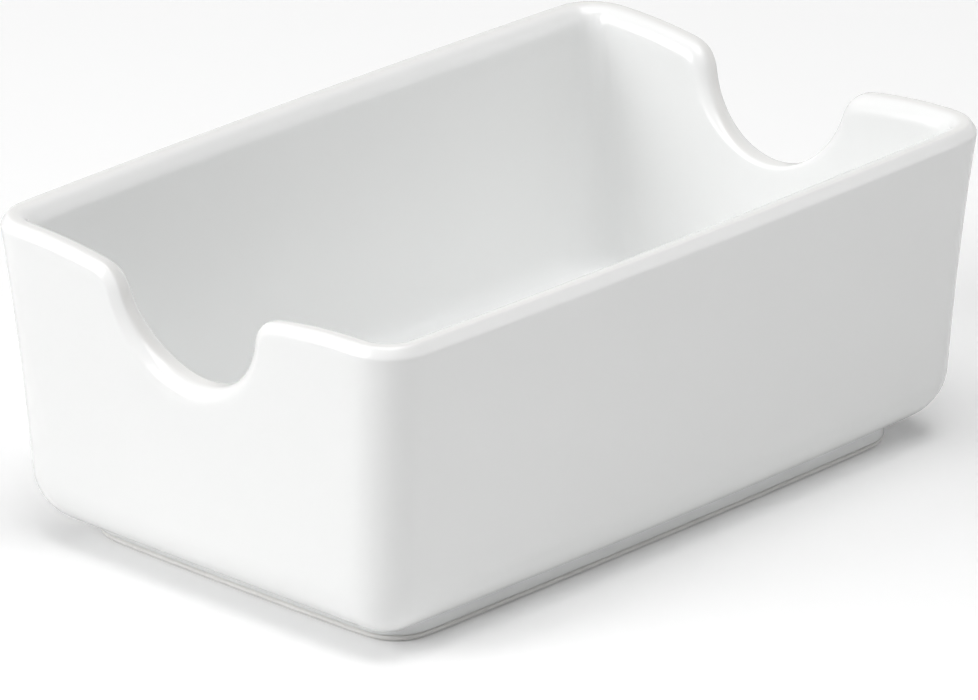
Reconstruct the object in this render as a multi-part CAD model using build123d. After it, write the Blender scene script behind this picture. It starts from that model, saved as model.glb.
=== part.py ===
from build123d import *
from math import sqrt
import os

# Sugar packet holder: a leaning-walled porcelain tub on a low foot ring, with a finger notch
# in each short wall. It is glazed all over but for the dry edge that it stands on.
# Millimetres, +Z up, X along the long walls, origin on the table under the middle of the tub.

# Outer form
LENGTH = 114.6  # end to end at the rim
WIDTH = 75.0  # side to side at the rim, at mid-length
HEIGHT = 44.6  # table to rim
LONG_BOW = 0.9  # swell of a long wall between its corners
END_BOW = 0.1  # swell of a short wall between its corners
LONG_LEAN = 3.4  # how far a long wall draws in from rim to base
END_LEAN = 2.1  # how far a short wall draws in from rim to base
WALL_HOLLOW = 0.35  # how far the walls are hollowed at mid-height, which flares the rim
CORNER_RADIUS = 6.7  # upright outer corners
BASE_ROUND = 7.8  # round from the walls to the base
BASE_TRIM = 0.05  # sliver taken off the base, where the round turns flat

# Inside
WALL = 3.9  # wall thickness at the rim
WALL_GAIN = 1.0  # extra wall thickness at the floor
FLOOR = 4.6  # floor thickness
WELL_CORNER_RIM = 3.0  # upright inner corners at the rim
WELL_CORNER_FLOOR = 8.0  # upright inner corners at the floor
FLOOR_ROUND = 6.0  # round from the inner walls to the floor

# Rim and finger notches
RIM_BEVEL = 1.2  # outer edge of the rim
RIM_ROUND = 2.0  # inner edge of the rim
NOTCH_DEPTH = 14.3  # rim to the bottom of a notch
NOTCH_RADIUS = 12.3  # hollow of a notch
SHOULDER_RADIUS = 4.4  # turn from a notch to the rim beside it
DIP_RADIUS = 90.0  # slow fall of the short walls' rim from the corners to the notch

# Foot ring
FOOT_HEIGHT = 2.55  # table to the base of the tub
FOOT_INSET_LONG = 5.9  # foot set in from the long walls' base line
FOOT_INSET_END = 7.6  # foot set in from the short walls' base line
FOOT_BOW = 0.45  # swell of each side of the foot
FOOT_CORNER = 6.0  # outer corners of the foot
FOOT_RIB = 4.0  # width of the ring
RECESS_CORNER = 2.6  # corners of the recess inside the ring
STAND_ROUND = 0.8  # both edges of the ring where it meets the table
DRY_FOOT = 1.0  # bare height left under the glaze

# Glaze
GLAZE = 0.3  # thickness of the coat


# Every function below takes a depth called skin: 0 gives the glazed surface,
# and GLAZE gives the surface of the clay under it.


def wall_inset(lean, z):
    """How far a wall stands in at a height from its widest line, just under the rim's bevel."""
    share = (z - FOOT_HEIGHT) / (HEIGHT - RIM_BEVEL - FOOT_HEIGHT)
    return lean * (1 - share) + 4 * WALL_HOLLOW * share * (1 - share)


def bowed_outline(length, width, long_bow, end_bow):
    """Four-sided outline whose sides swell outwards."""
    x = length / 2 - end_bow
    y = width / 2 - long_bow
    long_side = ThreePointArc((-x, -y), (0, -width / 2), (x, -y))
    end_side = ThreePointArc((x, -y), (length / 2, 0), (x, y))
    return make_face([long_side, end_side, mirror(long_side, Plane.XZ), mirror(end_side, Plane.YZ)])


def wall_outline(z, depth):
    """Outline at a height, a depth inside the outer walls, with sharp corners."""
    length = LENGTH - 2 * (wall_inset(END_LEAN, z) + depth)
    width = WIDTH - 2 * (wall_inset(LONG_LEAN, z) + depth)
    return Pos(0, 0, z) * bowed_outline(length, width, LONG_BOW, END_BOW)


def upright_edges(block):
    """The mitred corner edges of a block, from its rim down to its base."""
    reach = 2 * BASE_ROUND
    edges = []
    for edge in block.edges():
        middle = edge.center()
        near_corner = abs(middle.X) > LENGTH / 2 - reach and abs(middle.Y) > WIDTH / 2 - reach
        if near_corner and edge.bounding_box().size.Z > GLAZE:
            edges.append(edge)
    return edges


def outer_block(skin):
    """Solid outer form above the foot. The base round is made first and meets itself in mitres
    at the corners, so one corner round can run from the rim right under the base."""
    base = FOOT_HEIGHT + skin
    under = base - BASE_TRIM
    top = HEIGHT + WALL
    block = loft([wall_outline(z, skin) for z in (under, (under + top) / 2, top)])
    block = fillet(block.faces().sort_by(Axis.Z)[0].edges(), BASE_ROUND - skin)
    block = split(block, Plane.XY.offset(base), keep=Keep.TOP)
    return fillet(upright_edges(block), CORNER_RADIUS - skin)


def packet_well(skin):
    """The space for the packets. Its corners widen towards the floor as the wall thickens."""
    floor = FOOT_HEIGHT + FLOOR - skin
    top = HEIGHT + 2 * WALL
    levels = []
    for z in (floor, (floor + top) / 2, top):
        share = (HEIGHT - z) / (HEIGHT - floor)
        corner = WELL_CORNER_RIM + (WELL_CORNER_FLOOR - WELL_CORNER_RIM) * share + skin
        level = wall_outline(z, WALL + WALL_GAIN * share - skin)
        levels.append(fillet(level.vertices(), corner))
    well = loft(levels)
    return fillet(well.faces().sort_by(Axis.Z)[0].edges(), FLOOR_ROUND + skin)


def arc_about(centre, start, end):
    """The shorter arc about a centre from start to end."""
    middle = ((start - centre) + (end - centre)).normalized() * (start - centre).length
    return ThreePointArc(start, centre + middle, end)


def shoulder_centre(notch, dip):
    """Centre of the shoulder, which touches the notch from outside and the dip from inside."""
    notch_reach = NOTCH_RADIUS + SHOULDER_RADIUS
    dip_reach = DIP_RADIUS - SHOULDER_RADIUS
    apart = (dip - notch).length
    along = (notch_reach**2 - dip_reach**2 + apart**2) / (2 * apart)
    across = sqrt(notch_reach**2 - along**2)
    direction = (dip - notch).normalized()
    return notch + direction * along + Vector(-direction.Y, direction.X) * across


def above_rim(skin):
    """Everything above the rim line. Seen from the end, the rim is flat over the long walls and
    falls in a slow arc, a shoulder and the notch, each running smoothly into the next."""
    rim = HEIGHT - skin
    dip_start = WIDTH / 2 - LONG_BOW - CORNER_RADIUS
    notch = Vector(0, HEIGHT - NOTCH_DEPTH + NOTCH_RADIUS)
    dip = Vector(dip_start, HEIGHT - DIP_RADIUS)
    shoulder = shoulder_centre(notch, dip)
    bottom = Vector(0, HEIGHT - NOTCH_DEPTH - skin)
    notch_end = notch + (shoulder - notch).normalized() * (NOTCH_RADIUS + skin)
    dip_end = dip + (shoulder - dip).normalized() * (DIP_RADIUS - skin)
    flat = Vector(dip_start, rim)
    side = Vector(WIDTH, rim)
    lid = HEIGHT + 3 * WALL
    half = [
        arc_about(notch, bottom, notch_end),
        arc_about(shoulder, notch_end, dip_end),
        arc_about(dip, dip_end, flat),
        Polyline(flat, side, (WIDTH, lid), (0, lid), bottom),
    ]
    face = make_face(half)
    return extrude(Plane.YZ * (face + mirror(face, Plane.YZ)), LENGTH, both=True)


def rim_edges(tub):
    """Both edges of the rim, all the way round: the edges that lie on one rim face alone."""
    lowest = HEIGHT - NOTCH_DEPTH - WALL / 2
    rim_faces = [face for face in tub.faces() if face.bounding_box().min.Z > lowest]
    edges = [edge for face in rim_faces for edge in face.edges()]
    return [edge for edge in edges if sum(edge.is_same(other) for other in edges) == 1]


def is_outer(edge):
    """Whether an edge of the rim lies nearer to the outer walls than to the well."""
    middle = edge.center()
    from_end = LENGTH / 2 - wall_inset(END_LEAN, middle.Z) - abs(middle.X)
    from_side = WIDTH / 2 - wall_inset(LONG_LEAN, middle.Z) - abs(middle.Y)
    return min(from_end, from_side) < WALL - RIM_BEVEL / 2


def foot_outline(depth, corner):
    """Outline of the foot, a depth inside its outer face."""
    length = LENGTH - 2 * (END_LEAN + FOOT_INSET_END + depth)
    width = WIDTH - 2 * (LONG_LEAN + FOOT_INSET_LONG + depth)
    outline = bowed_outline(length, width, FOOT_BOW, FOOT_BOW)
    return fillet(outline.vertices(), corner)


def tub_form(skin, foot_level):
    """The whole tub at one depth under its surface, with its foot reaching down to a level."""
    foot = extrude(foot_outline(skin, FOOT_CORNER - skin), FOOT_HEIGHT + BASE_ROUND - foot_level)
    recess = extrude(foot_outline(FOOT_RIB - skin, RECESS_CORNER + skin), FOOT_HEIGHT + skin)
    tub = outer_block(skin) + Pos(0, 0, foot_level) * foot
    tub = tub - recess - packet_well(skin) - above_rim(skin)
    bevel = RIM_BEVEL - (2 - sqrt(2)) * skin
    tub = chamfer([edge for edge in rim_edges(tub) if is_outer(edge)], bevel)
    return fillet([edge for edge in rim_edges(tub) if not is_outer(edge)], RIM_ROUND - skin)


def porcelain_body():
    """The clay body, rounded where its bare foot stands on the table."""
    body = tub_form(GLAZE, 0)
    stand_edges = body.edges().group_by(Axis.Z)[0]
    return fillet(stand_edges, STAND_ROUND)


body = porcelain_body()
coats = (tub_form(0, DRY_FOOT) - body).solids().sort_by(SortBy.VOLUME)

nodes = {
    "porcelain_body": body,
    "glaze_coat": coats[-1],
    "underside_glaze": coats[0],
}

os.makedirs("parts", exist_ok=True)
for name, solid in nodes.items():
    export_step(solid, f"parts/{name}.step")
    print(name, round(solid.volume), "cubic mm")
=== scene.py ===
# %% [markdown]
# # A porcelain sugar packet holder
# The object is one piece of white tableware: a tub with leaning walls, rounded corners, a finger notch in
# each short wall and a low foot ring. The clay was cast in a mould, dipped in glaze and wiped dry where it
# stands. The solid model gives the clay and the two fields of glaze in metres, and it is loaded first, so
# that everything made here sits in the same frame and no fitting is needed.

# %% The solid model
from math import atan2, cos, pi, radians, sin, sqrt

import bmesh
import bpy
from mathutils import Matrix, Vector


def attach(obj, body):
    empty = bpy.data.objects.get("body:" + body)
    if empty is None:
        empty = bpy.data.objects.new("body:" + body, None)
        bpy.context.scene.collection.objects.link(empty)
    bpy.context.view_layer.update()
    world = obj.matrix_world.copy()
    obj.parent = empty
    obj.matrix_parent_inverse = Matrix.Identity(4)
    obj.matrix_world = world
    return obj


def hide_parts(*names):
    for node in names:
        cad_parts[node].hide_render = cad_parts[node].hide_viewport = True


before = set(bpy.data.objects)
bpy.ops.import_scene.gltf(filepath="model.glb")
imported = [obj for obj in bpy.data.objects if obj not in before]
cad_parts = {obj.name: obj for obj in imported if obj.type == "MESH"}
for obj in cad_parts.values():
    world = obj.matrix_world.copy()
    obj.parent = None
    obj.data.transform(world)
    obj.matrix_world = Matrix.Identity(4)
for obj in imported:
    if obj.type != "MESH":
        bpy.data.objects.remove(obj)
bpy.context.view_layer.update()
scene = bpy.context.scene
print("solid pieces:", sorted(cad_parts))

# %% [markdown]
# ## Where the camera stands
# The photograph was taken from far away with a long lens, so the walls hardly converge. The angles come
# from fitting the rim, the notches and the base line to the photograph. The camera stands on a sphere
# about the tub and looks a little below its middle, which puts the tub where the photograph has it
# without any lens shift. It is also rolled by a third of a degree, as a hand-levelled camera often is.

# %% Camera
AZIMUTH = radians(46.3)
ELEVATION = radians(21.65)
ROLL = radians(-0.37)
DISTANCE = 1.2949
LENS = 365.8
SENSOR = 36
MIDDLE = Vector((0, 0, 0.0227))
AIM_LEFT = 0.00081
AIM_BELOW = 0.0035

to_camera = Vector((-sin(AZIMUTH) * cos(ELEVATION), -cos(AZIMUTH) * cos(ELEVATION), sin(ELEVATION)))
to_right = Vector((cos(AZIMUTH), -sin(AZIMUTH), 0))
to_top = to_camera.cross(to_right)
aim = MIDDLE - AIM_LEFT * to_right - AIM_BELOW * to_top

camera = bpy.data.objects.new("camera", bpy.data.cameras.new("camera"))
scene.collection.objects.link(camera)
camera.location = MIDDLE + DISTANCE * to_camera
level = (camera.location - aim).to_track_quat("Z", "Y").to_matrix()
camera.rotation_euler = (level @ Matrix.Rotation(ROLL, 3, "Z")).to_euler()
camera.data.lens = LENS
camera.data.sensor_width = SENSOR
scene.camera = camera
print("camera at", [round(v, 3) for v in camera.location])

# %% [markdown]
# ## The sizes of the glazed surface
# These are the sizes of the tub in millimetres, from the table up. The walls lean out and are hollowed a
# little, so the rim flares. Small functions say how far the walls stand from the middle at a height: one for
# the outside, and one for the inside, where the wall thickens towards the floor.

# %% Walls
MM = 0.001
HEIGHT = 44.6
HALF_LENGTH = 57.3
HALF_WIDTH = 37.5
BASE = 2.3  # underside of the tub above the table
RIM_EDGE = 1.2  # height of the bevel on the rim
END_LEAN = 2.1  # how far a short wall draws in towards the base
LONG_LEAN = 3.4  # how far a long wall draws in towards the base
WALL_HOLLOW = 0.35  # how far the walls are hollowed at mid-height
END_BOW = 0.1  # swell of a short wall between its corners
LONG_BOW = 0.9  # swell of a long wall between its corners
CORNER = 6.3  # upright outer corners
WELL_CORNER = 2.8  # upright inner corners at the rim
WELL_CORNER_GAIN = 4.7  # what they gain down to the floor
WALL = 3.9  # wall thickness at the rim
WALL_GAIN = 1.0  # what the wall gains down to the floor
FLOOR = 7.15  # inner floor above the table


def wall_inset(lean, z):
    """How far a leaning, slightly hollow wall stands in at a height."""
    share = (z - BASE) / (HEIGHT - RIM_EDGE - BASE)
    return lean * (1 - share) + 4 * WALL_HOLLOW * share * (1 - share)


def outside(z):
    """Half length and half width of the outer walls at a height."""
    return HALF_LENGTH - wall_inset(END_LEAN, z), HALF_WIDTH - wall_inset(LONG_LEAN, z)


def thickness(z):
    """Thickness of the wall at a height."""
    return WALL + WALL_GAIN * (HEIGHT - z) / (HEIGHT - FLOOR)


def inside(z):
    """Half length, half width and corner radius of the well at a height."""
    half_length, half_width = outside(z)
    corner = WELL_CORNER + WELL_CORNER_GAIN * (HEIGHT - z) / (HEIGHT - FLOOR)
    return half_length - thickness(z), half_width - thickness(z), corner


print("wall at the rim", thickness(HEIGHT), "mm, at the floor", thickness(FLOOR), "mm")

# %% [markdown]
# ## The line of the rim
# Over the long walls the rim is level. Along a short wall it sinks in a slow arc, turns down over a tight
# shoulder and swings through the round finger notch. The arcs touch without a kink, because the shoulder's
# centre lies on the lines through the centres of its neighbours. A point is found by its length along this
# line, and a depth moves it square to the line into the wall, so the rounded rim keeps its shape even on
# the steep sides of a notch.

# %% Rim line
NOTCH_DEPTH = 14.3  # rim to the bottom of a notch
NOTCH_RADIUS = 12.3  # hollow of a notch
SHOULDER_RADIUS = 4.4  # turn from a notch to the rim beside it
DIP_RADIUS = 90.0  # slow fall of the short wall's rim
DIP_START = 6.7  # where that fall starts, in from the long wall
notch = Vector((0, HEIGHT - NOTCH_DEPTH + NOTCH_RADIUS))
dip = Vector((HALF_WIDTH - LONG_BOW - DIP_START, HEIGHT - DIP_RADIUS))
near = NOTCH_RADIUS + SHOULDER_RADIUS
far = DIP_RADIUS - SHOULDER_RADIUS
apart = (dip - notch).length
along = (near**2 - far**2 + apart**2) / (2 * apart)
direction = (dip - notch).normalized()
shoulder = notch + direction * along + Vector((-direction.y, direction.x)) * sqrt(near**2 - along**2)

notch_turn = atan2(shoulder.x, notch.y - shoulder.y)
shoulder_start = atan2(notch.y - shoulder.y, -shoulder.x)
shoulder_end = atan2(shoulder.y - dip.y, shoulder.x - dip.x)
notch_run = NOTCH_RADIUS * notch_turn
shoulder_run = SHOULDER_RADIUS * (shoulder_start - shoulder_end)
dip_run = DIP_RADIUS * (shoulder_end - pi / 2)


def rim_line(share, reach, depth):
    """Place across and height of a point on the short wall's rim, a depth inside the surface. The share
    runs from 0 in the middle of the notch to 1 at the corner, which starts at the given reach."""
    run = abs(share) * (notch_run + shoulder_run + dip_run + reach - dip.x)
    if run < notch_run:
        angle = run / NOTCH_RADIUS - pi / 2
        point = notch + Vector((cos(angle), sin(angle))) * (NOTCH_RADIUS + depth)
    elif run < notch_run + shoulder_run:
        angle = shoulder_start - (run - notch_run) / SHOULDER_RADIUS
        point = shoulder + Vector((cos(angle), sin(angle))) * (SHOULDER_RADIUS - depth)
    elif run < notch_run + shoulder_run + dip_run:
        angle = shoulder_end - (run - notch_run - shoulder_run) / DIP_RADIUS
        point = dip + Vector((cos(angle), sin(angle))) * (DIP_RADIUS - depth)
    else:
        point = Vector((dip.x + run - notch_run - shoulder_run - dip_run, HEIGHT - depth))
    return (point.x if share >= 0 else -point.x), point.y


print("rim sinks", round(HEIGHT - rim_line(0.6, 31, 0)[1], 2), "mm before the shoulder")

# %% [markdown]
# ## One outline for every ring
# The whole coat of glaze is skinned ring by ring, so every ring needs the same corners in the same order.
# The first outline is a plain rectangle with its corners bevelled and its sides subdivided. Each vertex
# then writes down two things about itself: how far it stands along the straight run of its side, and how
# far round the corner. Extruding an edge copies these notes to the new vertices, so any later ring can be
# drawn from its own half sizes and corner radius.

# %% First outline


def first_outline(mesh, long_cuts, end_cuts, corner_cuts):
    """A rounded rectangle of loose edges whose vertices remember their share of run and turn."""
    bmesh.ops.create_grid(mesh, x_segments=1, y_segments=1, size=2)
    corners = mesh.verts[:]
    bmesh.ops.bevel(
        mesh, geom=corners, offset=1, offset_type="ABSOLUTE", segments=corner_cuts,
        profile=0.5, affect="VERTICES", material=-1,
    )
    bmesh.ops.delete(mesh, geom=mesh.faces[:], context="FACES_ONLY")
    straight = [edge for edge in mesh.edges if edge.calc_length() > 1]
    long_sides = [edge for edge in straight if abs(edge.verts[0].co.y - edge.verts[1].co.y) < 0.1]
    ends = [edge for edge in straight if edge not in long_sides]
    bmesh.ops.subdivide_edges(mesh, edges=long_sides, cuts=long_cuts)
    bmesh.ops.subdivide_edges(mesh, edges=ends, cuts=end_cuts)
    run = mesh.verts.layers.float_vector.new("run")
    turn = mesh.verts.layers.float_vector.new("turn")
    mesh.verts.layers.float.new("pool")
    for vertex in mesh.verts:
        vertex[run] = [max(-1, min(1, value)) for value in vertex.co]
        vertex[turn] = vertex.co - vertex[run]
    return mesh.edges[:]


def plan(run, turn, half_length, half_width, corner, long_bow, end_bow):
    """Place of a vertex on a ring of these half sizes, whose sides swell by their bows."""
    x = run.x * (half_length - end_bow - corner) + turn.x * corner
    y = run.y * (half_width - long_bow - corner) + turn.y * corner
    x += turn.x * end_bow * (1 - (y / half_width) ** 2)
    y += turn.y * long_bow * (1 - (x / half_length) ** 2)
    return x, y


def next_ring(mesh, edges, place, pool=0.0):
    """Extrude a ring of edges, and put each new vertex where its run and turn say."""
    made = bmesh.ops.extrude_edge_only(mesh, edges=edges)["geom"]
    run = mesh.verts.layers.float_vector["run"]
    turn = mesh.verts.layers.float_vector["turn"]
    depth_of_glaze = mesh.verts.layers.float["pool"]
    fresh = {item for item in made if isinstance(item, bmesh.types.BMVert)}
    for vertex in fresh:
        vertex.co = Vector(place(vertex[run], vertex[turn])) * MM
        vertex[depth_of_glaze] = pool
    return [item for item in made if isinstance(item, bmesh.types.BMEdge) and fresh.issuperset(item.verts)]


def drop_outline(mesh):
    """Delete the first outline. It was metres wide, and only gave the rings their notes."""
    bmesh.ops.delete(mesh, geom=[v for v in mesh.verts if v.co.length > 1], context="VERTS")


coat = bmesh.new()
ring = first_outline(coat, long_cuts=23, end_cuts=71, corner_cuts=6)
print("vertices in a ring:", len(ring))

# %% [markdown]
# ## Foot and base of the coat
# The glaze stops a millimetre above the table, where the foot was wiped dry. From that edge the coat climbs
# the foot, meets the underside in a tight hollow and swings through the large round at the base. The round
# narrows at the corners, as a mitred round does when a second round runs down into it. In the hollow the
# molten glaze pools, so the ring there carries a pool value that the finish reads later.

# %% Foot and base
BASE_ROUND = 7.8
ROUND_START = 25  # where the hollow beside the foot ends, in degrees of the base round
FOOT_BOW = 0.45  # swell of each side of the foot
FOOT = (48.4, 29.0, 5.5, FOOT_BOW, FOOT_BOW)  # half length, half width, corner and bows
ROUND_LEVEL = BASE + BASE_ROUND
round_length = outside(ROUND_LEVEL)[0] - BASE_ROUND
round_width = outside(ROUND_LEVEL)[1] - BASE_ROUND


def foot_ring(z):
    """A ring round the outside of the foot."""
    return lambda run, turn: (*plan(run, turn, *FOOT), z)


def underside(x, y):
    """Height of the underside at a place, flat in the middle and rising into the base round."""
    over_length = abs(x) - round_length + END_BOW * (y / HALF_WIDTH) ** 2
    over_width = abs(y) - round_width + LONG_BOW * (x / HALF_LENGTH) ** 2
    over = max(0, over_length, over_width)
    return ROUND_LEVEL - sqrt(BASE_ROUND**2 - over**2)


def hollow_ring(share):
    """A ring on the underside, from the foot at 0 to the base round at 1."""

    def place(run, turn):
        x, y = plan(run, turn, *FOOT)
        outer_x, outer_y, _ = round_ring(ROUND_START)(run, turn)
        x += (outer_x - x) * share
        y += (outer_y - y) * share
        return x, y, underside(x, y)

    return place


def round_ring(angle):
    """A ring on the base round, from 0 degrees underneath to 90 at the wall."""
    out = BASE_ROUND * sin(radians(angle))
    z = ROUND_LEVEL - BASE_ROUND * cos(radians(angle))
    corner = CORNER * sin(radians(angle))
    return lambda run, turn: (
        *plan(run, turn, round_length + out, round_width + out, corner, LONG_BOW, END_BOW), z
    )


for z in (1.0, 1.2, 2.2):
    ring = next_ring(coat, ring, foot_ring(z), pool=0.2)
drop_outline(coat)
ring = next_ring(coat, ring, hollow_ring(0.0), pool=1.0)
ring = next_ring(coat, ring, hollow_ring(0.4), pool=0.4)
for angle in (ROUND_START, 40, 55, 70, 82):
    ring = next_ring(coat, ring, round_ring(angle))
print("rings so far:", len(coat.verts) // len(ring))

# %% [markdown]
# ## Walls, rim and well of the coat
# The outer wall rises to the rim in rings that start level and bend to follow the notches. Over the straight
# walls the rim has a crisp bevel outside, a narrow crest and a wide soft round inside. In a notch it is the
# other way about: the outer edge is soft and the inner edge is tight. Each ring of the rim therefore knows
# two places, one for the plain rim and one for the notch, and slides slowly from one to the other along the
# side of the notch. Inside, the rings straighten again down to the floor round.

# %% Walls and rim
HOLD = 3.0  # depth of the last ring of a wall below the rim
INNER_WIDE = 2.1  # step of the plain rim's inner round
INNER_DEEP = 2.4  # depth of the plain rim's inner round
NOTCH_SOFT = 2.3  # outer round in a notch
NOTCH_TIGHT = 0.65  # inner round in a notch


def rim_reach(across):
    """Where the corner starts on the short wall, from the outer edge of the rim at 0 to the inner at 1."""
    outer = HALF_WIDTH - LONG_BOW - CORNER
    inner = HALF_WIDTH - LONG_BOW - WALL - WELL_CORNER
    return outer + (inner - outer) * across


def wall_point(run, turn, share, low, inner):
    """A point on a wall, from a level ring at 0 to the line just under the rim at 1."""
    if turn.y == 0:
        base_width = inside(low)[1] - inside(low)[2] if inner else outside(low)[1] - CORNER
        y, z = rim_line(run.y, rim_reach(1 if inner else 0), HOLD)
        y += (run.y * (base_width - LONG_BOW) - y) * (1 - share)
        z += (low - z) * (1 - share)
        half_length, half_width = inside(z)[:2] if inner else outside(z)
        return turn.x * (half_length - END_BOW * (y / half_width) ** 2), y, z
    z = low + (HEIGHT - HOLD - low) * share
    half_length, half_width, corner = inside(z) if inner else (*outside(z), CORNER)
    return *plan(run, turn, half_length, half_width, corner, LONG_BOW, END_BOW), z


def in_notch(share):
    """How much a point of the short wall's rim belongs to the notch: 1 in its hollow, 0 at the shoulder."""
    run = abs(share) * (notch_run + shoulder_run + dip_run + rim_reach(0) - dip.x)
    start = notch_run / 4
    end = notch_run + shoulder_run / 3
    over = max(0, min(1, (run - start) / (end - start)))
    return 1 - over * over * (3 - 2 * over)


def rim_point(run, turn, plain, notched, inner):
    """A point on the rim. Its two places are each a step in from the wall's face and a depth."""
    blend = in_notch(run.y) if turn.y == 0 else 0
    step = plain[0] + (notched[0] - plain[0]) * blend
    depth = plain[1] + (notched[1] - plain[1]) * blend
    across = 1 - step / WALL if inner else step / WALL
    y, z = rim_line(run.y, rim_reach(across), depth) if turn.y == 0 else (0, HEIGHT - depth)
    face = min(z, HEIGHT - RIM_EDGE)
    half_length, half_width = inside(face)[:2] if inner else outside(face)
    inset = -step if inner else step
    if turn.y == 0:
        return turn.x * (half_length - inset - END_BOW * (y / half_width) ** 2), y, z
    corner = CORNER + (WELL_CORNER - CORNER) * across
    return *plan(run, turn, half_length - inset, half_width - inset, corner, LONG_BOW, END_BOW), z


def quarter(angle, wide, deep):
    """Step and depth of a point on a quarter round, from the wall's face at 0 to the crest at 90."""
    return wide * (1 - cos(radians(angle))), deep * (1 - sin(radians(angle)))


for share in (0.0, 0.16, 0.36, 0.58, 0.8, 1.0):
    ring = next_ring(coat, ring, lambda run, turn: wall_point(run, turn, share, ROUND_LEVEL, False))
bevel = ((0, 1.8), (0, 1.46), (0.1, 1.24), (0.42, 0.72), (0.76, 0.22), (0.96, 0.04), (1.25, 0))
for i, plain in enumerate(bevel):
    soft = quarter(15 * i, NOTCH_SOFT, NOTCH_SOFT)
    ring = next_ring(coat, ring, lambda run, turn: rim_point(run, turn, plain, soft, False), pool=-i / 6)
for angle in (90, 72, 54, 36, 18, 0):
    wide = quarter(angle, INNER_WIDE, INNER_DEEP)
    tight = quarter(angle, NOTCH_TIGHT, NOTCH_TIGHT)
    ring = next_ring(coat, ring, lambda run, turn: rim_point(run, turn, wide, tight, True), pool=-angle / 90)
FLOOR_ROUND = 6.0  # from the inner walls to the floor
WELL_LEVEL = FLOOR + FLOOR_ROUND
for share in (1.0, 0.8, 0.58, 0.36, 0.16, 0.0):
    ring = next_ring(coat, ring, lambda run, turn: wall_point(run, turn, share, WELL_LEVEL, True))
print("rings so far:", len(coat.verts) // len(ring))

# %% [markdown]
# ## Floor of the coat
# The well ends in a soft round and a flat floor. The rings shrink towards the middle, and the last small
# hole is filled with one face: it lies flat, so its many corners don't show. The faces of a skin agree with
# each other once their normals are recalculated, but an open skin can still be inside out, so the face in
# the middle is asked which way it looks.

# %% Floor
LEAST_CORNER = 1.2
well_length, well_width, well_corner = inside(WELL_LEVEL)


def floor_ring(angle):
    """A ring on the round between the inner wall at 90 degrees and the floor at 0."""
    inset = FLOOR_ROUND * (1 - sin(radians(angle)))
    z = WELL_LEVEL - FLOOR_ROUND * cos(radians(angle))
    corner = max(LEAST_CORNER, well_corner - inset)
    return lambda run, turn: (
        *plan(run, turn, well_length - inset, well_width - inset, corner, LONG_BOW, END_BOW), z
    )


def flat_ring(share):
    """A ring on the flat floor, shrunk towards the middle."""
    edge = floor_ring(0)
    return lambda run, turn: (*[value * share for value in edge(run, turn)[:2]], FLOOR)


def face_up(mesh, up):
    """Turn a skin the right way round, so that the face in its middle looks up or down."""
    bmesh.ops.recalc_face_normals(mesh, faces=mesh.faces[:])
    middle = min(mesh.faces, key=lambda face: face.calc_center_median().xy.length)
    if (middle.normal.z > 0) != up:
        bmesh.ops.reverse_faces(mesh, faces=mesh.faces[:])
    return middle


for angle in (72, 54, 36, 18, 0):
    ring = next_ring(coat, ring, floor_ring(angle), pool=0.5 * cos(radians(angle)))
for share in (0.9, 0.6, 0.3):
    ring = next_ring(coat, ring, flat_ring(share), pool=0.3)
bmesh.ops.holes_fill(coat, edges=ring, sides=0)
floor_face = face_up(coat, True)
print("floor normal", [round(v, 2) for v in floor_face.normal], "faces", len(coat.faces))

# %% [markdown]
# ## The coat as an object
# The coat is still a skin. A Solidify modifier gives it the thickness of the glaze, inwards, so its size
# stays as drawn. A Subdivision Surface then rounds the edge of the coat on the foot into the soft lip that
# molten glaze leaves. Both stay live, because the rings are then easy to change.

# %% Coat object
GLAZE = 0.3


def finished(mesh, name, levels, thickness=GLAZE):
    """Turn a mesh into a smooth object. A skin also gets the thickness of the glaze."""
    for face in mesh.faces:
        face.smooth = True
    data = bpy.data.meshes.new(name)
    mesh.to_mesh(data)
    mesh.free()
    piece = bpy.data.objects.new(name, data)
    scene.collection.objects.link(piece)
    if thickness:
        wall = piece.modifiers.new("glaze thickness", "SOLIDIFY")
        wall.thickness = thickness * MM
        wall.offset = -1
    smooth = piece.modifiers.new("smooth", "SUBSURF")
    smooth.levels = levels
    smooth.render_levels = levels
    return piece


glazed_tub = finished(coat, "glazed_tub", 1)
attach(glazed_tub, "root")
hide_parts("glaze_coat")
print("glazed_tub", [round(v, 4) for v in glazed_tub.dimensions])

# %% [markdown]
# ## The glaze under the foot
# Inside the foot ring lies a second field of glaze, cut off from the rest by the dry edge. It is skinned as
# the coat was: its rings climb the inner side of the foot, turn over into the flat field and shrink towards
# the middle, where the last hole is filled.

# %% Underside glaze
FIELD_LENGTH = 43.6  # half length inside the foot
FIELD_WIDTH = 24.2  # half width inside the foot
FIELD_CORNER = 2.4
FIELD = 2.55  # height of the flat field
field = bmesh.new()
ring = first_outline(field, long_cuts=15, end_cuts=9, corner_cuts=4)


def field_ring(inset, z):
    """A ring of the field, inset from the inner side of the foot."""
    sizes = (FIELD_LENGTH - inset, FIELD_WIDTH - inset, FIELD_CORNER + inset / 2, FOOT_BOW, FOOT_BOW)
    return lambda run, turn: (*plan(run, turn, *sizes), z)


side = ((0, 1.0, 0.2), (0, 1.2, 0.2), (0, 2.0, 0.5), (0.15, 2.4, 1))
border = ((0.6, FIELD, 0.7), (2, FIELD, 0.2))
for inset, z, pool in side + border:
    ring = next_ring(field, ring, field_ring(inset, z), pool)
drop_outline(field)
for inset in (8, 16):
    ring = next_ring(field, ring, field_ring(inset, FIELD))
bmesh.ops.holes_fill(field, edges=ring, sides=0)
face_up(field, False)

foot_field = finished(field, "foot_field", 1)
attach(foot_field, "root")
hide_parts("underside_glaze")
print("foot_field", [round(v, 4) for v in foot_field.dimensions])

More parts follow.
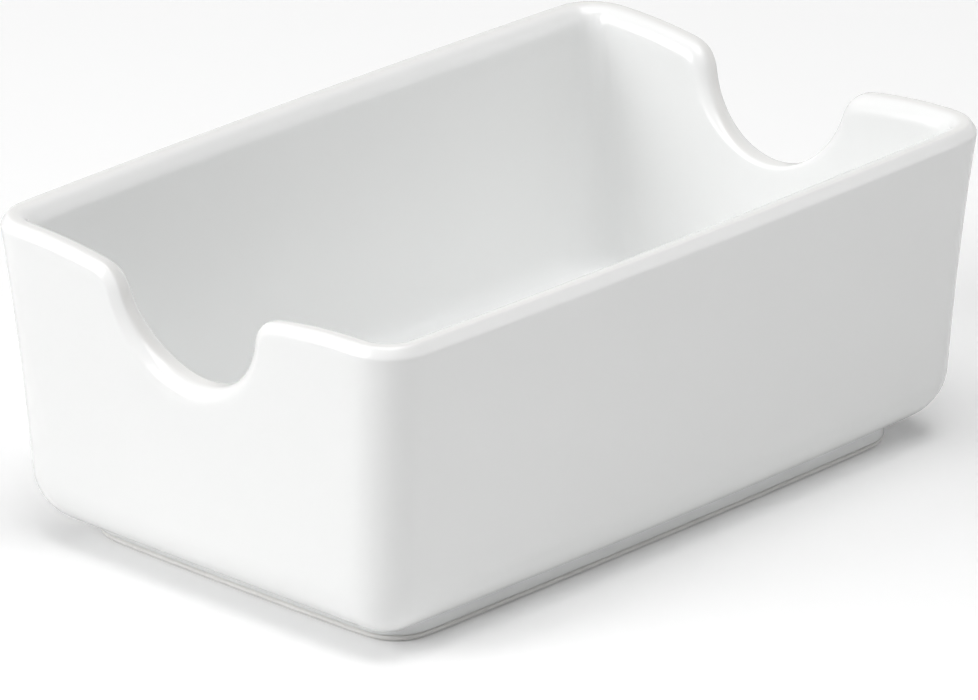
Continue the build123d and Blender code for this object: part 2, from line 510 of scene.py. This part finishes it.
# %% [markdown]
# ## The dry edge of the foot
# The potter wipes the glaze off the edge that stands on the kiln shelf, and the wet sponge rounds the clay
# there to a soft lip. A groove stays under the end of the glaze, which shows as a thin dark line. The lip is
# a closed ring: its section is drawn as a few rings, and the last is bridged to the first.

# %% Dry foot
FOOT_LENGTH, FOOT_WIDTH, FOOT_CORNER = FOOT[:3]
groove = ((0.45, 1.5), (0.45, 1.02), (0.38, 0.9), (0.12, 0.76))
lip_round = ((0.06, 0.45), (0.2, 0.14), (0.7, 0))
inner_edge = ((3.4, 0), (3.8, 0.6), (3.8, 1.5))


def lip_ring(inset, z):
    """A ring of the lip, inset from the outside of the foot."""
    corner = max(FIELD_CORNER, FOOT_CORNER - inset)
    sizes = (FOOT_LENGTH - inset, FOOT_WIDTH - inset, corner, FOOT_BOW, FOOT_BOW)
    return lambda run, turn: (*plan(run, turn, *sizes), z)


lip = bmesh.new()
rings = [first_outline(lip, long_cuts=15, end_cuts=9, corner_cuts=4)]
for inset, z in groove + lip_round + inner_edge:
    rings.append(next_ring(lip, rings[-1], lip_ring(inset, z)))
drop_outline(lip)
bmesh.ops.bridge_loops(lip, edges=rings[1] + rings[-1])
bmesh.ops.recalc_face_normals(lip, faces=lip.faces[:])

dry_foot = finished(lip, "dry_foot", 1, thickness=0)
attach(dry_foot, "root")
print("dry_foot", [round(v, 4) for v in dry_foot.dimensions])

# %% [markdown]
# ## What the kiln does
# Fired ware is never quite even. Both the glaze and the bare clay drift in tone from place to place and
# carry a fine grain, only at different scales and strengths. That is one effect with two settings, so it is
# a node group with named sockets: a colour goes in, and a drifting colour, a roughness and a height come
# out. The shader itself stays in each material.

# %% Kiln variation group
kiln = bpy.data.node_groups.new("kiln_variation", "ShaderNodeTree")
for name, kind, value in (
    ("Colour", "NodeSocketColor", (0.8, 0.8, 0.8, 1)),
    ("Drift", "NodeSocketFloat", 0.03),
    ("Patch Scale", "NodeSocketFloat", 30.0),
    ("Grain Scale", "NodeSocketFloat", 200.0),
    ("Grain", "NodeSocketFloat", 0.2),
    ("Smoothest", "NodeSocketFloat", 0.1),
    ("Roughest", "NodeSocketFloat", 0.2),
):
    socket = kiln.interface.new_socket(name=name, in_out="INPUT", socket_type=kind)
    socket.default_value = value
for name, kind in (
    ("Colour", "NodeSocketColor"),
    ("Roughness", "NodeSocketFloat"),
    ("Height", "NodeSocketFloat"),
):
    kiln.interface.new_socket(name=name, in_out="OUTPUT", socket_type=kind)


def node(tree, kind, **settings):
    """A new node with its settings and the values of its unlinked sockets."""
    made = tree.nodes.new(kind)
    for key, value in settings.items():
        if key in made.inputs:
            made.inputs[key].default_value = value
        else:
            setattr(made, key, value)
    return made


inputs = node(kiln, "NodeGroupInput")
outputs = node(kiln, "NodeGroupOutput")
where = node(kiln, "ShaderNodeTexCoord")
patches = node(kiln, "ShaderNodeTexNoise", Detail=2.0, Roughness=0.5)
grain = node(kiln, "ShaderNodeTexNoise", Detail=3.0, Roughness=0.6)
tone = node(kiln, "ShaderNodeMath", operation="MULTIPLY_ADD")
centred = node(kiln, "ShaderNodeMath", operation="SUBTRACT")
centred.inputs[1].default_value = 0.5
tone.inputs[2].default_value = 1.0
shaded = node(kiln, "ShaderNodeVectorMath", operation="SCALE")
rough = node(kiln, "ShaderNodeMapRange")
height = node(kiln, "ShaderNodeMix", data_type="FLOAT")
for start, end in (
    (where.outputs["Object"], patches.inputs["Vector"]),
    (where.outputs["Object"], grain.inputs["Vector"]),
    (inputs.outputs["Patch Scale"], patches.inputs["Scale"]),
    (inputs.outputs["Grain Scale"], grain.inputs["Scale"]),
    (patches.outputs["Fac"], centred.inputs[0]),
    (centred.outputs[0], tone.inputs[0]),
    (inputs.outputs["Drift"], tone.inputs[1]),
    (inputs.outputs["Colour"], shaded.inputs[0]),
    (tone.outputs[0], shaded.inputs["Scale"]),
    (shaded.outputs[0], outputs.inputs["Colour"]),
    (grain.outputs["Fac"], rough.inputs["Value"]),
    (inputs.outputs["Smoothest"], rough.inputs["To Min"]),
    (inputs.outputs["Roughest"], rough.inputs["To Max"]),
    (rough.outputs["Result"], outputs.inputs["Roughness"]),
    (inputs.outputs["Grain"], height.inputs[0]),
    (patches.outputs["Fac"], height.inputs[2]),
    (grain.outputs["Fac"], height.inputs[3]),
    (height.outputs[0], outputs.inputs["Height"]),
):
    kiln.links.new(start, end)
print("group sockets:", [item.name for item in kiln.interface.items_tree])

# %% [markdown]
# ## White glaze
# The glaze is a clear glass over white clay: bright, neutral and softly glossy. It runs thin over the rim,
# where the warmer clay shows through, and pools in the hollow at the foot, where it looks a little cooler.
# The pool value that the rings carried runs from -1 on the crest to 1 in the hollow, and a colour ramp turns
# it into these whites.

# %% Glaze material
CREST_WHITE = (0.84, 0.835, 0.82, 1)
THIN_WHITE = (0.905, 0.905, 0.9, 1)
PLAIN_WHITE = (0.905, 0.91, 0.905, 1)
POOLED_WHITE = (0.86, 0.875, 0.88, 1)


def new_material(name):
    """A material with its shader and output, and the kiln group placed in it."""
    made = bpy.data.materials.new(name)
    made.use_nodes = True
    group = made.node_tree.nodes.new("ShaderNodeGroup")
    group.node_tree = kiln
    bump = made.node_tree.nodes.new("ShaderNodeBump")
    shader = made.node_tree.nodes["Principled BSDF"]
    links = made.node_tree.links
    links.new(group.outputs["Colour"], shader.inputs["Base Color"])
    links.new(group.outputs["Roughness"], shader.inputs["Roughness"])
    links.new(group.outputs["Height"], bump.inputs["Height"])
    links.new(bump.outputs["Normal"], shader.inputs["Normal"])
    return made, group, bump, shader


white_glaze, glaze_kiln, glaze_bump, glaze_shader = new_material("white_glaze")
for name, value in (("Drift", 0.02), ("Patch Scale", 28), ("Grain Scale", 160), ("Grain", 0.15)):
    glaze_kiln.inputs[name].default_value = value
glaze_kiln.inputs["Smoothest"].default_value = 0.12
glaze_kiln.inputs["Roughest"].default_value = 0.2
glaze_bump.inputs["Strength"].default_value = 0.06
glaze_bump.inputs["Distance"].default_value = 0.0006
glaze_shader.inputs["IOR"].default_value = 1.5

tree = white_glaze.node_tree
pooled = node(tree, "ShaderNodeAttribute", attribute_name="pool")
whites = node(tree, "ShaderNodeValToRGB")
spread = node(tree, "ShaderNodeMapRange")
spread.inputs["From Min"].default_value = -1
ramp = whites.color_ramp
ramp.elements[0].color = CREST_WHITE
ramp.elements[1].color = POOLED_WHITE
ramp.elements.new(0.5).color = PLAIN_WHITE
ramp.elements.new(0.15).color = THIN_WHITE
tree.links.new(pooled.outputs["Fac"], spread.inputs["Value"])
tree.links.new(spread.outputs["Result"], whites.inputs["Fac"])
tree.links.new(whites.outputs["Color"], glaze_kiln.inputs["Colour"])
for piece in (glazed_tub, foot_field):
    piece.data.materials.append(white_glaze)
print("white_glaze on", glazed_tub.name, foot_field.name)

# %% [markdown]
# ## Bare clay
# Only the edge of the foot is bare. It is matte, a little creamy and finely grained. The lip made above and
# the clay body of the solid model, which lies under the glaze, share this one material.

# %% Bare clay material
CLAY_WHITE = (0.9, 0.89, 0.87, 1)
bare_clay, clay_kiln, clay_bump, clay_shader = new_material("bare_porcelain")
clay_kiln.inputs["Colour"].default_value = CLAY_WHITE
for name, value in (("Drift", 0.12), ("Patch Scale", 120), ("Grain Scale", 2600), ("Grain", 0.8)):
    clay_kiln.inputs[name].default_value = value
clay_kiln.inputs["Smoothest"].default_value = 0.6
clay_kiln.inputs["Roughest"].default_value = 0.85
clay_bump.inputs["Strength"].default_value = 0.35
clay_bump.inputs["Distance"].default_value = 0.0001
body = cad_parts["porcelain_body"]
for piece in (body, dry_foot):
    piece.data.materials.clear()
    piece.data.materials.append(bare_clay)
print("bare clay on", body.name, dry_foot.name)

# %% [markdown]
# ## Floor
# The tub stands on a plain pale floor that takes its soft shadow. The photograph's ground is pure white, and
# more light on the tub would bleach it, so the floor gets a small glow of its own. The Light Path node shows
# that glow to the camera alone, and it lights nothing.

# %% Floor sheet
FLOOR_WHITE = (0.93, 0.93, 0.93, 1)
FLOOR_GLOW = 0.12
table = bmesh.new()
bmesh.ops.create_grid(table, x_segments=1, y_segments=1, size=3)
table_data = bpy.data.meshes.new("floor")
table.to_mesh(table_data)
table.free()
floor = bpy.data.objects.new("floor", table_data)
scene.collection.objects.link(floor)

paper = bpy.data.materials.new("white_floor")
paper.use_nodes = True
tree = paper.node_tree
tree.nodes.clear()
output = node(tree, "ShaderNodeOutputMaterial")
matte = node(tree, "ShaderNodeBsdfDiffuse", Color=FLOOR_WHITE)
glow = node(tree, "ShaderNodeEmission", Color=(1, 1, 1, 1))
path = node(tree, "ShaderNodeLightPath")
lift = node(tree, "ShaderNodeMath", operation="MULTIPLY")
lift.inputs[1].default_value = FLOOR_GLOW
both = node(tree, "ShaderNodeAddShader")
tree.links.new(path.outputs["Is Camera Ray"], lift.inputs[0])
tree.links.new(lift.outputs[0], glow.inputs["Strength"])
tree.links.new(matte.outputs[0], both.inputs[0])
tree.links.new(glow.outputs[0], both.inputs[1])
tree.links.new(both.outputs[0], output.inputs["Surface"])
floor.data.materials.append(paper)
print("floor", [round(v, 2) for v in floor.dimensions])

# %% [markdown]
# ## Light
# The light is that of a small studio. Two large soft lamps hang over the tub, one a little to the front, so
# the rim and the well are bright. A third stands behind it on the left: it lights the short wall on the left
# and leaves the long wall on the right in shade, with a narrow soft shadow below it. A weak, low lamp at the
# front brightens the foot, and a faint sky fills the rest. Where the camera sees past the floor, and where
# the glaze mirrors the world, a white background takes the place of that sky.

# %% World and lamps
SKY = 0.08
world = bpy.data.worlds.new("studio")
scene.world = world
world.use_nodes = True
tree = world.node_tree
tree.nodes.clear()
output = node(tree, "ShaderNodeOutputWorld")
sky = node(tree, "ShaderNodeBackground", Color=(1, 1, 1, 1), Strength=SKY)
white = node(tree, "ShaderNodeBackground", Color=(1, 1, 1, 1), Strength=1.0)
path = node(tree, "ShaderNodeLightPath")
seen = node(tree, "ShaderNodeMath", operation="MAXIMUM")
seen_clear = node(tree, "ShaderNodeMath", operation="MAXIMUM")
choice = node(tree, "ShaderNodeMixShader")
tree.links.new(path.outputs["Is Camera Ray"], seen.inputs[0])
tree.links.new(path.outputs["Is Glossy Ray"], seen.inputs[1])
tree.links.new(seen.outputs[0], seen_clear.inputs[0])
tree.links.new(path.outputs["Is Transmission Ray"], seen_clear.inputs[1])
tree.links.new(seen_clear.outputs[0], choice.inputs["Fac"])
tree.links.new(sky.outputs[0], choice.inputs[1])
tree.links.new(white.outputs[0], choice.inputs[2])
tree.links.new(choice.outputs[0], output.inputs["Surface"])


def softbox(name, place, size, light):
    """A square lamp that faces the tub. Its light is what a white surface facing it would show."""
    lamp = bpy.data.lights.new(name, "AREA")
    lamp.size = size
    lamp.energy = light * pi * pi * Vector(place).length_squared
    box = bpy.data.objects.new(name, lamp)
    box.location = place
    box.rotation_euler = Vector(place).to_track_quat("Z", "Y").to_euler()
    scene.collection.objects.link(box)
    return box


softbox("side_lamp", (-1.12, 0.54, 0.62), 0.8, 0.56)
softbox("top_lamp", (-0.1, 0.1, 1.4), 1.2, 0.27)
softbox("top_front_lamp", (-0.1, -0.35, 1.35), 1.0, 0.475)
softbox("front_lamp", (0.8, -1.15, 0.4), 0.9, 0.13)
scene.view_settings.view_transform = "Standard"
